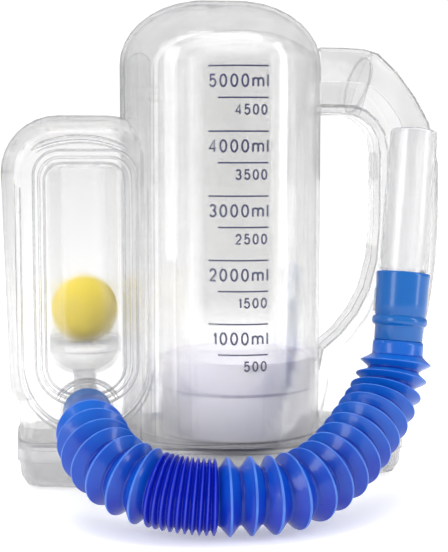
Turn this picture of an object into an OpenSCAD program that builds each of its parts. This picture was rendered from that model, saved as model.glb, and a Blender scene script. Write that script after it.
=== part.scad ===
// Breathing trainer: a clear tower with a piston and a scale, a flow chamber with a ball,
// a hollow handle, and a ribbed hose that ends in a mouthpiece. Millimetres, +Z up.
// The origin lies on the ground under the middle of the body.

/* [Tower] */
// Place of the piston axis, to the right of the middle
tower_x = 7; // [3:0.5:11]
// How far the tower's left round end stands from the piston axis
lobe_shift = 18; // [17:0.5:21]
// Wall of the clear shells
shell_wall = 2; // [1.6:0.1:2.4]
// Height of the tower's dome
dome_rise = 34; // [26:1:42]

/* [Measuring cylinder and piston] */
// Outside radius of the piston
piston_r = 41; // [38:0.5:43]
// Gap between the piston and the bore
piston_gap = 0.3; // [0.2:0.05:0.5]
// Whole height of the piston
piston_h = 41; // [34:1:48]
// Height of the piston's upper cap
piston_cap_h = 16; // [12:1:20]
// Wall of the piston
piston_wall = 1.8; // [1.4:0.1:2.4]
// Travel of the piston from rest to the top of the scale
piston_travel = 154; // [120:1:170]
// Wall of the measuring cylinder
cylinder_wall = 1.4; // [1:0.1:1.8]
// Gap between the measuring cylinder and the tower
cylinder_gap = 0.3; // [0.2:0.05:0.5]
// Height of the measuring cylinder's domed top
cylinder_cap_rise = 19; // [14:1:24]

/* [Base] */
// Height of the base tray up to the top of its band
tray_h = 25; // [22:0.5:30]
// Height of the band round the tray
band_h = 10; // [8:0.5:12]
// How far the tray stands out round the tower
tray_margin = 8.5; // [6:0.5:12]
// Wall of the tray
tray_wall = 2; // [1.6:0.1:2.4]
// Thickness of the deck plate
deck_t = 2; // [1.6:0.1:2.4]
// Radius of the foam filter
filter_r = 24; // [18:1:30]
// Thickness of the foam filter
filter_t = 8; // [5:0.5:9]

/* [Flow chamber] */
// Distance of the ball's axis to the left of the middle
ball_x = 76; // [74:0.5:79]
// Radius of the ball
ball_r = 17; // [15:0.25:18]
// Gap between the ball and its tube
ball_gap = 1.2; // [0.8:0.1:1.8]
// Wall of the ball's tube and of its seat
tube_wall = 1.2; // [1:0.1:1.6]
// Travel of the ball
ball_travel = 58; // [45:1:62]
// Height of the rim that the ball's tube stands on
seat_z = 77; // [70:1:84]
// Reach of the chamber to the left of the middle
chamber_reach = 119; // [117:0.5:122]
// Height of the chamber's top
chamber_top = 195; // [185:1:205]
// Half of the chamber's depth
chamber_half = 29; // [26:0.5:31]

/* [Hose port] */
// Height of the hose port's axis
port_z = 42; // [40:0.5:45]
// Outside radius of the port's spigot
spigot_r = 11; // [10:0.25:11.5]
// Gap between a push fit's inner and outer piece
push_gap = 0.05; // [0.02:0.01:0.09]
// Radius of the cuffs' bodies
cuff_r = 12.6; // [12.2:0.1:13.4]
// Radius of the cuffs' beads
bead_r = 14; // [13.5:0.1:15]
// Length of the lower cuff
lower_cuff_h = 18; // [14:1:22]
// Length of the upper cuff
upper_cuff_h = 36; // [30:1:42]

/* [Handle] */
// Reach of the handle from the tower's right side
handle_reach = 67; // [60:1:72]
// Height of the handle's top
handle_top = 232; // [220:1:238]
// Half of the handle's depth
handle_half = 16; // [12:0.5:17]
// Thickness of the ring where the handle joins its stub
ring_wall = 1.2; // [0.8:0.1:1.6]
// Height of the clip that holds the mouthpiece's cuff
clip_h = 12; // [8:1:16]

/* [Mouthpiece] */
// Place of the upper cuff's rim
rim_at = [89, -41, 113];
// Lean of the mouthpiece towards the handle
lean_back = 8; // [4:0.5:10]
// Lean of the mouthpiece to the right
lean_side = 6; // [3:0.5:9]
// Length of the mouthpiece above the cuff
mouth_h = 75; // [60:1:85]
// How deep the mouthpiece sits in the cuff
mouth_seat = 18; // [14:1:22]
// Outside radius at the open end
mouth_r = 12.4; // [11.8:0.1:13]
// Radius of the mouthpiece's bore
mouth_bore_r = 10; // [9:0.25:10.4]

/* [Hose] */
// Radius of the hose over its ribs
rib_r = 18.25; // [16:0.25:18.5]
// Radius of the hose between its ribs
groove_r = 14.25; // [13:0.25:15]
// Radius of the hose's bore
hose_bore_r = 11.25; // [9:0.25:12]

/* [Hidden] */
$fn = 64;

// One overrun serves every cut
over = 1;
// Gap between pieces that stand side by side
side_gap = 0.3;

// Tower
cylinder_bore_r = piston_r + piston_gap;
cylinder_r = cylinder_bore_r + cylinder_wall;
tower_r = cylinder_r + cylinder_gap + shell_wall;
lobe_x = tower_x - lobe_shift;
deck_z = tray_h;
deck_under = deck_z - deck_t;
piston_z = tray_h + piston_gap;
top_clear = 1.7;
spring_z = piston_z + piston_h + piston_travel + top_clear;
arc_steps = 9;

// Duct between the cylinder and the tower's left end
duct_w = 11;
duct_half = 9;
duct_wall = 1.2;
duct_x = lobe_x - tower_r + shell_wall + duct_w / 2 + duct_wall * 2;
duct_top = spring_z + duct_w / 2;
link_r = 5;
link_z = spring_z - link_r * 3;
vent_z = tray_h + duct_w;
vent_h = duct_w * 2;

// Piston
seal_h = 1.4;
seal_proud = 0.1;
nest_h = 6;
nest_gap = 0.1;
skirt_draw = 0.4;

// Tray
tray_r = tower_r + tray_margin;
foot_r = 12;
foot_out = 0.5;
left_foot = ball_x + 23;
left_half = chamber_half - foot_r;
right_foot = tower_x + tower_r + 0.48 * handle_reach;
right_half = handle_half - foot_out * 4;
band_proud = 1;
ledge_w = 2;
tray_levels = [[0, 9], [0.12, 4], [0.45, 1], [1, 0]];
slot_w = 3;
slot_h = 6;
slot_step = 7;
slot_count = 5;
inlet_r = 6;
inlet_ring = 15;
inlet_count = 5;
cup_wall = 1.6;

// Flow chamber
skirt_x = left_foot + foot_r;
skirt_top = port_z + spigot_r + 3;
crown_r = 30;
toe_r = 12;
toe_x = chamber_reach - toe_r - 3;
front_inset = 10;
front_round = 20;
edge_steps = 4;
tube_r = ball_r + ball_gap;
tube_out_r = tube_r + tube_wall;
ball_z = seat_z + 15;
seat_depth = 18;
stem_r = 7;
stem_bore_r = 5;
stop_t = 3;
vent_count = 4;
tube_top = ball_z + ball_travel + ball_r + piston_gap;
window_w = tube_out_r * 2 + 2;
window_h = tube_top - seat_z + 26;
window_round = 14;
window_z = (tube_top + seat_z - 18) / 2;
ridge_w = 1.6;
ridge_h = 1.5;
ridge_step = 8;

// Port
boss_r = spigot_r + 4.5;
boss_y = chamber_half + 2;
flange_t = 2;
spigot_wall = 1.8;
spigot_in = 8;
bead_h = 4;
clip_t = 1.6;
clip_w = 6;
clip_share = 0.58;

// Handle: inner and outer edge as shares of its reach and of its height above the tray,
// from the tower at the top to below the tray, where it is cut flat
handle_in_shares = [[-0.2, 0.826], [0.12, 0.826], [0.24, 0.824], [0.313, 0.814], [0.395, 0.792],
    [0.448, 0.763], [0.463, 0.725], [0.463, 0.643], [0.463, 0.536], [0.443, 0.444],
    [0.381, 0.367], [0.284, 0.307], [0.149, 0.254], [0, 0.213], [-0.09, 0.07], [-0.18, -0.07]];
handle_out_shares = [[-0.2, 1], [0.18, 1], [0.36, 0.997], [0.478, 0.986], [0.642, 0.937],
    [0.79, 0.874], [0.91, 0.807], [0.993, 0.70], [1, 0.556], [0.985, 0.44],
    [0.948, 0.338], [0.896, 0.246], [0.82, 0.16], [0.746, 0.082], [0.672, 0.01], [0.58, -0.082]];
// Half of the section: share of the width and share of the half depth
section_shares = [[0, 0], [0, 0.75], [0.1, 1], [0.47, 1], [1, 0.2], [1, 0]];
station_over = 0.4;
last_station = len(handle_in_shares) - 1 - station_over;
joint_station = 2.6;
ring_span = 0.22;
ring_gap = 0.15;
handle_x = tower_x + tower_r;
handle_rise = handle_top - tray_h;

// Hose: the route's points between its two straight ends, chosen by hand
hose_route = [[-76, -64, 41], [-75, -78, 38], [-72, -91, 33], [-65, -103, 28], [-54, -112, 23.5],
    [-40, -118, 20.5], [-24, -121, 19], [-8, -122, 19], [7, -121, 19], [20, -117, 20.5],
    [31, -110, 23.5], [41, -102, 28], [50, -93, 33.5], [58, -84, 39.5], [66, -74, 46],
    [73, -64, 52.5], [79, -55.5, 60]];
hose_sides = 16;
route_steps = 8;
// Ribs: ends of the zones as shares of the hose's length, and ribs in each zone
zone_shares = [0.04, 0.36, 0.48, 0.96];
zone_ribs = [11, 10, 14];
straight_end = 8;
ring_guide = [0.6, 1, -1];

// Places that follow from the hose's two cuffs
port_at = [-ball_x, -boss_y - flange_t - lower_cuff_h, port_z];
port_way = [0, -1, 0];
mouth_way = [cos(lean_back) * sin(lean_side), sin(lean_back), cos(lean_back) * cos(lean_side)];
cuff_end = rim_at - mouth_way * upper_cuff_h;
full_route = concat([port_at], hose_route, [cuff_end - mouth_way * straight_end, cuff_end]);

function mix(a, b, t) = a + (b - a) * t;

function unit(v) = v / norm(v);

// A point on the smooth curve through the route, at segment i and share t
function curve_at(p, i, t) =
    let (a = p[max(i - 1, 0)], b = p[i], c = p[i + 1], d = p[min(i + 2, len(p) - 1)])
    0.5 * (2 * b + (c - a) * t + (2 * a - 5 * b + 4 * c - d) * t * t + (3 * b - a - 3 * c + d) * t * t * t);

route_fine = concat([for (i = [0 : len(full_route) - 2], k = [0 : route_steps - 1])
    curve_at(full_route, i, k / route_steps)], [cuff_end]);

// Length along the route up to each fine point
function step_at(p, i) = i + 1 < len(p) ? norm(p[i + 1] - p[i]) : 0;

function run_up(p) = [for (i = 0, s = 0; i < len(p); s = s + step_at(p, i), i = i + 1) s];

route_run = run_up(route_fine);
hose_length = route_run[len(route_run) - 1];
route_table = [for (axis = [0 : 2])
    [for (i = [0 : len(route_fine) - 1]) [route_run[i], route_fine[i][axis]]]];

function route_at(s) = [for (axis = [0 : 2]) lookup(s, route_table[axis])];

function way_at(s) =
    s <= straight_end / 2 ? port_way :
    s >= hose_length - straight_end / 2 ? mouth_way :
    unit(route_at(s + over) - route_at(s - over));

function ring_at(s, r) =
    let (way = way_at(s), side = unit(cross(way, ring_guide)), up = cross(side, way), at = route_at(s))
    [for (k = [0 : hose_sides - 1]) let (turn = 360 * k / hose_sides)
        at + r * (side * cos(turn) + up * sin(turn))];

// Places of the grooves: the zones' ribs share each zone evenly
rib_places = [for (z = [0 : len(zone_ribs) - 1], k = [0 : zone_ribs[z] - 1])
    hose_length * mix(zone_shares[z], zone_shares[z + 1], k / zone_ribs[z])];
groove_places = concat([0], rib_places, [hose_length * zone_shares[len(zone_shares) - 1], hose_length]);

outer_rings = [for (i = [0 : len(groove_places) - 1], half = [0, 1])
    if (half == 0) ring_at(groove_places[i], groove_r)
    else if (i > 0 && i < len(groove_places) - 2)
        ring_at((groove_places[i] + groove_places[i + 1]) / 2, rib_r)];
bore_rings = [for (i = [len(groove_places) - 1 : -1 : 0]) ring_at(groove_places[i], hose_bore_r)];

// One closed skin over rings of equal count; open rings get end faces
module skin(rings, closed) {
    n = len(rings[0]);
    m = len(rings);
    sides = [for (i = [0 : m - (closed ? 1 : 2)], k = [0 : n - 1], half = [0, 1])
        let (next = (k + 1) % n, above = (i + 1) % m,
            a = i * n + k, b = i * n + next, c = above * n + k, d = above * n + next)
        half == 0 ? [a, b, d] : [a, d, c]];
    caps = closed ? [] : [[for (k = [n - 1 : -1 : 0]) k], [for (k = [0 : n - 1]) (m - 1) * n + k]];
    polyhedron(points = [for (r = rings, p = r) p], faces = concat(sides, caps), convexity = 10);
}

// Plan shapes

module stadium(r) {
    translate([tower_x, 0]) circle(r);
    translate([lobe_x, 0]) circle(r);
    translate([lobe_x, -r]) square([lobe_shift, r * 2]);
}

module tray_plan(grow) {
    hull() {
        translate([tower_x, 0]) circle(tray_r + grow);
        for (s = [-1, 1]) {
            translate([-left_foot, s * left_half]) circle(foot_r + foot_out + grow, $fn = 32);
            translate([right_foot, s * right_half]) circle(foot_r + grow, $fn = 32);
        }
    }
}

module rounded(w, h, r) {
    square([w - r * 2, h], center = true);
    square([w, h - r * 2], center = true);
    for (sx = [-1, 1], sy = [-1, 1]) translate([sx * (w / 2 - r), sy * (h / 2 - r)]) circle(r);
}

// A ring with a rounded outline, of width t
module rounded_ring(w, h, r, t) {
    difference() {
        rounded(w, h, r);
        rounded(w - t * 2, h - t * 2, r - t);
    }
}

module ring(r_out, r_in, h) {
    difference() {
        cylinder(r = r_out, h = h);
        translate([0, 0, -over]) cylinder(r = r_in, h = h + over * 2);
    }
}

// Base

module dish(grow) {
    hull() for (level = tray_levels)
        translate([0, 0, level[0] * (tray_h - band_h)])
            linear_extrude(height = side_gap) tray_plan(grow - level[1]);
}

function slot_x(k) = tower_x + (k - (slot_count - 1) / 2) * slot_step - slot_w / 2;

module base_tray() {
    color("whitesmoke", 0.5) {
        difference() {
            dish(0);
            translate([0, 0, tray_wall]) dish(-tray_wall);
            for (k = [0 : slot_count - 1])
                translate([slot_x(k), tray_r - tray_wall * 6, tray_wall * 2])
                    cube([slot_w, tray_wall * 8, slot_h]);
        }
        translate([0, 0, tray_h - band_h]) linear_extrude(height = band_h) difference() {
            tray_plan(band_proud);
            tray_plan(-tray_wall);
        }
        translate([0, 0, deck_under - ledge_w]) linear_extrude(height = ledge_w) difference() {
            tray_plan(-tray_wall / 2);
            tray_plan(-tray_wall - ledge_w);
        }
    }
}

module deck_hole(r) {
    translate([0, 0, deck_under - over]) cylinder(r = r, h = deck_t + over * 2, $fn = 32);
}

module deck_plate() {
    cup_r = filter_r + side_gap;
    color("gainsboro", 0.5) {
        difference() {
            translate([0, 0, deck_under]) linear_extrude(height = deck_t) tray_plan(-tray_wall - side_gap);
            for (k = [0 : inlet_count - 1]) translate([tower_x, 0, 0]) rotate([0, 0, 360 * k / inlet_count])
                translate([inlet_ring, 0, 0]) deck_hole(inlet_r);
            translate([-ball_x, 0, 0]) deck_hole(stem_bore_r);
        }
        translate([tower_x, 0, deck_under - filter_t]) ring(cup_r + cup_wall, cup_r, filter_t);
    }
}

module air_filter() {
    color("dimgray") translate([tower_x, 0, deck_under - filter_t]) cylinder(r = filter_r, h = filter_t);
}

// Tower

// Half section of a wall with an elliptical dome
module dome_wall(r, wall, z_low, z_spring, rise) {
    polygon(concat(
        [[r - wall, z_low], [r, z_low]],
        [for (k = [0 : arc_steps]) [r * cos(90 * k / arc_steps), z_spring + rise * sin(90 * k / arc_steps)]],
        [for (k = [arc_steps : -1 : 0])
            [(r - wall) * cos(90 * k / arc_steps), z_spring + (rise - wall) * sin(90 * k / arc_steps)]]));
}

module tower_shell() {
    color("aliceblue", 0.35) difference() {
        union() {
            translate([tower_x, 0, 0]) rotate([0, 0, -90]) rotate_extrude(angle = 180)
                dome_wall(tower_r, shell_wall, deck_z, spring_z, dome_rise);
            translate([lobe_x, 0, 0]) rotate([0, 0, 90]) rotate_extrude(angle = 180)
                dome_wall(tower_r, shell_wall, deck_z, spring_z, dome_rise);
            translate([lobe_x, 0, 0]) rotate([90, 0, 90]) linear_extrude(height = lobe_shift) {
                dome_wall(tower_r, shell_wall, deck_z, spring_z, dome_rise);
                mirror([1, 0]) dome_wall(tower_r, shell_wall, deck_z, spring_z, dome_rise);
            }
        }
        translate([lobe_x - tower_r - over, -duct_half + duct_wall, vent_z])
            cube([shell_wall * 3, (duct_half - duct_wall) * 2, vent_h]);
    }
}

module measuring_cylinder() {
    color("white", 0.35) difference() {
        translate([tower_x, 0, 0]) rotate_extrude()
            dome_wall(cylinder_r, cylinder_wall, deck_z, spring_z, cylinder_cap_rise);
        translate([tower_x - cylinder_r - over * 2, 0, link_z]) rotate([0, 90, 0])
            cylinder(r = link_r + side_gap, h = cylinder_wall * 6, $fn = 32);
    }
}

// A flat tube with a round top, from the deck to the link into the cylinder
module air_duct() {
    color("lightcyan", 0.4) difference() {
        union() {
            duct_form(duct_w / 2, duct_half, deck_z);
            translate([duct_x, 0, link_z]) rotate([0, 90, 0])
                cylinder(r = link_r, h = tower_x - cylinder_bore_r - duct_x - side_gap, $fn = 32);
        }
        duct_form(duct_w / 2 - duct_wall, duct_half - duct_wall, deck_z - over);
        translate([duct_x, 0, link_z]) rotate([0, 90, 0])
            cylinder(r = link_r - duct_wall, h = tower_x - duct_x, $fn = 32);
        translate([duct_x - duct_w, -duct_half + duct_wall * 2, vent_z])
            cube([duct_w, (duct_half - duct_wall * 2) * 2, vent_h]);
    }
}

module duct_form(r, half, z_low) {
    translate([duct_x - r, -half, z_low]) cube([r * 2, half * 2, spring_z - z_low]);
    translate([duct_x, half, spring_z]) rotate([90, 0, 0]) cylinder(r = r, h = half * 2, $fn = 32);
}

// Piston

module piston_skirt() {
    skirt_h = piston_h - piston_cap_h - seal_h;
    skirt_r = piston_r - skirt_draw;
    nest_in = piston_r - piston_wall * 3;
    color("ghostwhite") translate([tower_x, 0, piston_z]) {
        ring(skirt_r, skirt_r - piston_wall, skirt_h);
        translate([0, 0, skirt_h - piston_wall]) {
            ring(skirt_r - piston_wall / 2, nest_in, piston_wall);
            ring(piston_r - piston_wall - nest_gap - seal_h, nest_in, nest_h + piston_wall);
        }
    }
}

module piston_seal() {
    color("white") translate([tower_x, 0, piston_z + piston_h - piston_cap_h - seal_h])
        ring(piston_r + seal_proud, piston_r - piston_wall - seal_h + nest_gap, seal_h);
}

module piston_cap() {
    color("white") translate([tower_x, 0, piston_z + piston_h - piston_cap_h]) {
        ring(piston_r, piston_r - piston_wall, piston_cap_h);
        translate([0, 0, piston_cap_h - piston_wall * 2])
            cylinder(r = piston_r - piston_wall / 2, h = piston_wall);
    }
}

// Flow chamber

// A thick disc across Y whose front edge is rounded
module puck(r, depth, inset, back) {
    rotate([90, 0, 0]) rotate_extrude($fn = 32) polygon(concat(
        [[0, -back], [r, -back], [r, depth - front_round]],
        [for (k = [1 : edge_steps]) let (turn = 90 * k / edge_steps)
            [r - inset * (1 - cos(turn)), depth - front_round * (1 - sin(turn))]],
        [[0, depth]]));
}

module chamber_half_form(wall) {
    back = wall > 0 ? over : 0;
    depth = chamber_half - wall;
    crown = crown_r - wall;
    toe = toe_r - wall;
    crown_z = chamber_top - crown_r;
    toe_z = port_z + toe_r;
    inner_x = lobe_x - tower_r / 2;
    hull() {
        translate([-chamber_reach + crown_r, 0, crown_z]) puck(crown, depth, front_inset, back);
        translate([inner_x - crown_r, 0, crown_z]) puck(crown, depth, front_inset, back);
        translate([-toe_x, 0, toe_z]) puck(toe, depth, front_inset - wall, back);
        translate([inner_x - toe_r, 0, toe_z]) puck(toe, depth, front_inset - wall, back);
    }
    skirt_w = skirt_x - ball_x;
    translate([-ball_x, 0, tray_h - back]) linear_extrude(height = skirt_top - tray_h - wall + back)
        intersection() {
            rounded((skirt_w - wall) * 2, (chamber_half - foot_out - wall) * 2, foot_r - wall);
            translate([-skirt_w - over, -chamber_half]) square([(skirt_w + over) * 2, chamber_half + back]);
        }
}

module chamber_half_shell() {
    difference() {
        chamber_half_form(0);
        chamber_half_form(shell_wall);
        translate([0, 0, tray_h - over]) linear_extrude(height = chamber_top) stadium(tower_r + side_gap);
    }
}

module chamber_rear() {
    color("aliceblue", 0.35) mirror([0, 1, 0]) chamber_half_shell();
}

module chamber_front() {
    color("aliceblue", 0.35) difference() {
        union() {
            chamber_half_shell();
            translate([-ball_x, -chamber_half + shell_wall / 2, window_z]) rotate([90, 0, 0])
                linear_extrude(height = ridge_h + shell_wall / 2)
                    rounded_ring(window_w, window_h, window_round, ridge_w);
            translate([-ball_x, -boss_y, port_z]) rotate([-90, 0, 0])
                cylinder(r = boss_r, h = boss_y - chamber_half + shell_wall);
        }
        translate([-ball_x, -boss_y - over, port_z]) rotate([-90, 0, 0])
            cylinder(r = spigot_r + side_gap / 2, h = boss_y);
    }
}

module flow_tube() {
    color("white", 0.35) translate([-ball_x, 0, seat_z]) ring(tube_out_r, tube_r, tube_top - seat_z);
}

module ball_stop() {
    color("white", 0.5) translate([-ball_x, 0, tube_top]) difference() {
        cylinder(r = tube_out_r, h = stop_t);
        for (k = [0 : vent_count - 1]) rotate([0, 0, 360 * k / vent_count])
            translate([ball_r / 2, 0, -over]) cylinder(r = stem_bore_r, h = stop_t + over * 2, $fn = 32);
    }
}

// A cup that the ball nests in, on a hollow stem
module ball_seat() {
    cup_z = seat_z - seat_depth;
    color("white", 0.5) translate([-ball_x, 0, 0]) difference() {
        rotate_extrude() polygon(concat(
            [[0, deck_z], [stem_r, deck_z], [stem_r, cup_z]],
            [for (k = [1 : edge_steps]) let (turn = 90 * k / edge_steps)
                [mix(stem_r, tube_out_r, sin(turn)), cup_z + seat_depth / 2 * (1 - cos(turn))]],
            [[tube_out_r, seat_z], [0, seat_z]]));
        translate([0, 0, ball_z]) sphere(r = ball_r + side_gap);
        translate([0, 0, deck_z - over]) cylinder(r = stem_bore_r, h = seat_z, $fn = 32);
    }
}

module flow_ball() {
    color("gold") translate([-ball_x, 0, ball_z]) sphere(r = ball_r);
}

module hose_port() {
    flange_at = spigot_in + boss_y - chamber_half + shell_wall;
    spigot_h = flange_at + lower_cuff_h;
    color("white", 0.5) translate([-ball_x, flange_at - boss_y, port_z]) rotate([90, 0, 0]) difference() {
        union() {
            cylinder(r = spigot_r, h = spigot_h);
            translate([0, 0, flange_at]) cylinder(r = bead_r, h = flange_t);
        }
        translate([0, 0, -over]) cylinder(r = spigot_r - spigot_wall, h = spigot_h + over * 2);
    }
}

// Handle

function station(shares, i) = [for (axis = [0, 1])
    lookup(i, [for (k = [0 : len(shares) - 1]) [k, shares[k][axis]]])];

function edge_at(shares, i) = let (s = station(shares, i))
    [handle_x + s[0] * handle_reach, tray_h + s[1] * handle_rise];

// Section of the front half at station i, grown by g; its flat side reaches past the parting plane by cut
function half_section(i, g, cut) =
    let (a = edge_at(handle_in_shares, i), b = edge_at(handle_out_shares, i), way = unit(b - a))
    [for (s = section_shares) let (at = mix(a - way * g, b + way * g, s[0]))
        [at[0], s[1] == 0 ? cut : -s[1] * (handle_half + g), at[1]]];

module handle_part(first, last, g, cut) {
    between = [for (i = [0 : len(handle_in_shares) - 1]) if (i > first && i < last) i];
    stations = concat([first], between, [last]);
    for (k = [1 : len(stations) - 1])
        hull() skin([half_section(stations[k - 1], g, cut), half_section(stations[k], g, cut)], false);
}

module handle_half_shell(first, last) {
    difference() {
        handle_part(first, last, 0, 0);
        handle_part(first - station_over, last + station_over, -shell_wall, over);
        translate([tower_x, 0, 0]) cylinder(r = tower_r + side_gap, h = handle_top + over);
        translate([0, -handle_half - over, -tray_h * 2])
            cube([handle_x + handle_reach, (handle_half + over) * 2, tray_h * 3]);
    }
}

module handle_front() {
    color("aliceblue", 0.35) handle_half_shell(joint_station, last_station);
}

module handle_rear() {
    color("aliceblue", 0.35) mirror([0, 1, 0]) handle_half_shell(joint_station, last_station);
}

module handle_stub() {
    color("white", 0.35) {
        handle_half_shell(station_over, joint_station);
        mirror([0, 1, 0]) handle_half_shell(station_over, joint_station);
    }
}

module handle_ring() {
    color("white", 0.5) for (s = [0, 1]) mirror([0, s, 0]) difference() {
        handle_part(joint_station - ring_span, joint_station + ring_span, ring_gap + ring_wall, 0);
        handle_part(joint_station - ring_span * 2, joint_station + ring_span * 2, ring_gap, over);
    }
}

// Hose and mouthpiece

// Local +Z runs up the mouthpiece from the cuff's rim
module along_mouth() {
    translate(rim_at) rotate([-lean_back, lean_side, 0]) children();
}

module cuff(length, first_bead, second_bead) {
    difference() {
        union() {
            cylinder(r = cuff_r, h = length);
            translate([0, 0, first_bead]) cylinder(r = bead_r, h = bead_h);
            translate([0, 0, second_bead]) cylinder(r = bead_r, h = bead_h);
        }
        translate([0, 0, -over]) cylinder(r = spigot_r + push_gap, h = length + over * 2);
    }
}

// A cradle behind the upper cuff on an arm from the handle's front face
module cuff_clip() {
    clip_in = cuff_r + push_gap;
    color("white", 0.5) difference() {
        along_mouth() translate([0, 0, clip_share * -upper_cuff_h]) linear_extrude(height = clip_h) {
            translate([-clip_w / 2, clip_in + clip_t / 2]) square([clip_w, handle_half * 2]);
            difference() {
                circle(clip_in + clip_t);
                circle(clip_in);
                translate([-cuff_r * 2, -cuff_r * 4]) square([cuff_r * 4, cuff_r * 4]);
            }
        }
        translate([tower_x, -handle_half, 0]) cube([tower_r + handle_reach, handle_half * 4, handle_top]);
    }
}

module hose_cuff_lower() {
    color("royalblue") translate([-ball_x, -boss_y - flange_t, port_z]) rotate([90, 0, 0])
        cuff(lower_cuff_h, 0, 0);
}

module hose_cuff_upper() {
    color("royalblue") along_mouth() translate([0, 0, -upper_cuff_h])
        cuff(upper_cuff_h, upper_cuff_h / 4, upper_cuff_h - bead_h);
}

module hose() {
    color("mediumblue") skin(concat(outer_rings, bore_rings), true);
}

module mouthpiece() {
    color("white", 0.35) along_mouth() difference() {
        union() {
            translate([0, 0, -mouth_seat]) cylinder(r = spigot_r, h = mouth_seat + over);
            translate([0, 0, over]) cylinder(r1 = spigot_r, r2 = mouth_r, h = mouth_h - over);
        }
        translate([0, 0, -mouth_seat - over])
            cylinder(r = mouth_bore_r, h = mouth_h + mouth_seat + over * 2);
    }
}

base_tray();
deck_plate();
air_filter();
tower_shell();
measuring_cylinder();
air_duct();
piston_cap();
piston_seal();
piston_skirt();
chamber_front();
chamber_rear();
flow_tube();
ball_seat();
ball_stop();
flow_ball();
hose_port();
handle_stub();
handle_ring();
handle_front();
handle_rear();
cuff_clip();
hose_cuff_lower();
hose();
hose_cuff_upper();
mouthpiece();
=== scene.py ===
"""Looks of the breathing trainer: clear moulded tower, chamber and handle, a white piston,
a yellow ball, a blue ribbed hose and the printed millilitre scale."""

import math

import bpy
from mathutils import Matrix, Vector


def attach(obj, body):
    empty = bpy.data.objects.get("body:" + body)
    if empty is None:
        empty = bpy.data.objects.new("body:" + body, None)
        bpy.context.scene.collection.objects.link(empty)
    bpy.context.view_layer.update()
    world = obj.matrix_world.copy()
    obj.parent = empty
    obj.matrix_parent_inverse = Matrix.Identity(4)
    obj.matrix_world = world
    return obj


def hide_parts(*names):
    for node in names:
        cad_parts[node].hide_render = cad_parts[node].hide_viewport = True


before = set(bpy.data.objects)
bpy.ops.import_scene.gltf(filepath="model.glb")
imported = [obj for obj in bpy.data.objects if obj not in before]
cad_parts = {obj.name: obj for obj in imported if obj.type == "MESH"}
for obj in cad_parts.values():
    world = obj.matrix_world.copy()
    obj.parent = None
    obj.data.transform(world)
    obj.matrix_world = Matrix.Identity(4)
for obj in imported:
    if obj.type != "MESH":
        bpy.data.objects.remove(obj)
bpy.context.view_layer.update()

MM = 0.001
UP = Vector((0, 0, 1))

# Sizes and places of the trainer, in millimetres, as in the part's source

TOWER_X = 7.0
CYLINDER_R = 42.7
BALL_X = 76.0
BALL_Z = 92.0
FACE_Y = -29.0
PORT_Z = 42.0
CUFF_FACE_Y = -33.0
CUFF_BORE_R = 11.05
LOWER_CUFF_H = 18.0
UPPER_CUFF_H = 36.0
RIM_AT = Vector((89.0, -41.0, 113.0))
MOUTH_WAY = Vector((0.103511, 0.139173, 0.984843))
PORT_WAY = Vector((0.0, -1.0, 0.0))
HOSE_BORE_R = 11.25
STRAIGHT_END = 8.0
# No ring of the hose faces this way, so it can tell each ring where to begin
RING_GUIDE = Vector((0.6, 1.0, -1.0))

CUFF_END = RIM_AT - MOUTH_WAY * UPPER_CUFF_H
PORT_AT = Vector((-BALL_X, CUFF_FACE_Y - LOWER_CUFF_H, PORT_Z))
ROUTE = (
    [PORT_AT]
    + [Vector(p) for p in (
        (-76, -64, 41), (-75, -78, 38), (-72, -91, 33), (-65, -103, 28), (-54, -112, 23.5),
        (-40, -118, 20.5), (-24, -121, 19), (-8, -122, 19), (7, -121, 19), (20, -117, 20.5),
        (31, -110, 23.5), (41, -102, 28), (50, -93, 33.5), (58, -84, 39.5), (66, -74, 46),
        (73, -64, 52.5), (79, -55.5, 60))]
    + [CUFF_END - MOUTH_WAY * STRAIGHT_END, CUFF_END]
)
# Near its ends the hose's rings turn to face the way of the port and of the mouthpiece
DROOP_SHARE = 0.09
UPRIGHT_SHARES = ((0, 0), (0.7, 0), (0.8, 0.2), (0.88, 0.5), (0.94, 0.8), (1, 1))

# Sizes of the finer forms that this script gives the hose and its cuffs

CUFF_R = 12.6
SLEEVE_R = 13.7
BEAD_R = 14.4
NECK_R = 12.9
NECK_LENGTH = 2.0
SWELL_R = 13.6
SWELL_SHARE = 0.7
GROOVE_R = 13.2
FOLDED_GROOVE_R = 15.2
FOLDED_RIB_R = 17.7
ZONE_SHARES = (0.06, 0.294, 0.404, 0.975)
ZONE_RIBS = (7, 10, 15)
FOLDED_ZONE = 1
# Rib height over the first stretch from the port, where the tube is drawn out thin
FIRST_RIBS = ((0, 14.4), (15, 16.2), (25, 17.8), (36, 18.25))
# How high a face has to lie to take the painted highlight, and how low to take the painted shade
FOLDED_CREST_R = 17.4
CREST_BAND = 0.2
GROOVE_BAND = 1.2
UNSHADED_END = 1.0
HOSE_SIDES = 56
BORE_RINGS = 90


# Small helpers

def linear(hex_colour):
    """A colour given as sRGB hex, as the linear RGBA that shaders take."""
    parts = [int(hex_colour[i:i + 2], 16) / 255 for i in (1, 3, 5)]
    return [p / 12.92 if p <= 0.04045 else ((p + 0.055) / 1.055) ** 2.4 for p in parts] + [1.0]


def add_node(tree, kind, links=(), **settings):
    """Adds a node with its settings; links give (input name, output socket)."""
    node = tree.nodes.new(kind)
    for name, value in settings.items():
        if name in node.inputs:
            node.inputs[name].default_value = value
        elif name.replace("_", " ") in node.inputs:
            node.inputs[name.replace("_", " ")].default_value = value
        else:
            setattr(node, name, value)
    for name, socket in links:
        tree.links.new(socket, node.inputs[name])
    return node


def new_material(name):
    material = bpy.data.materials.new(name)
    material.use_nodes = True
    material.node_tree.nodes.clear()
    return material, material.node_tree


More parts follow.
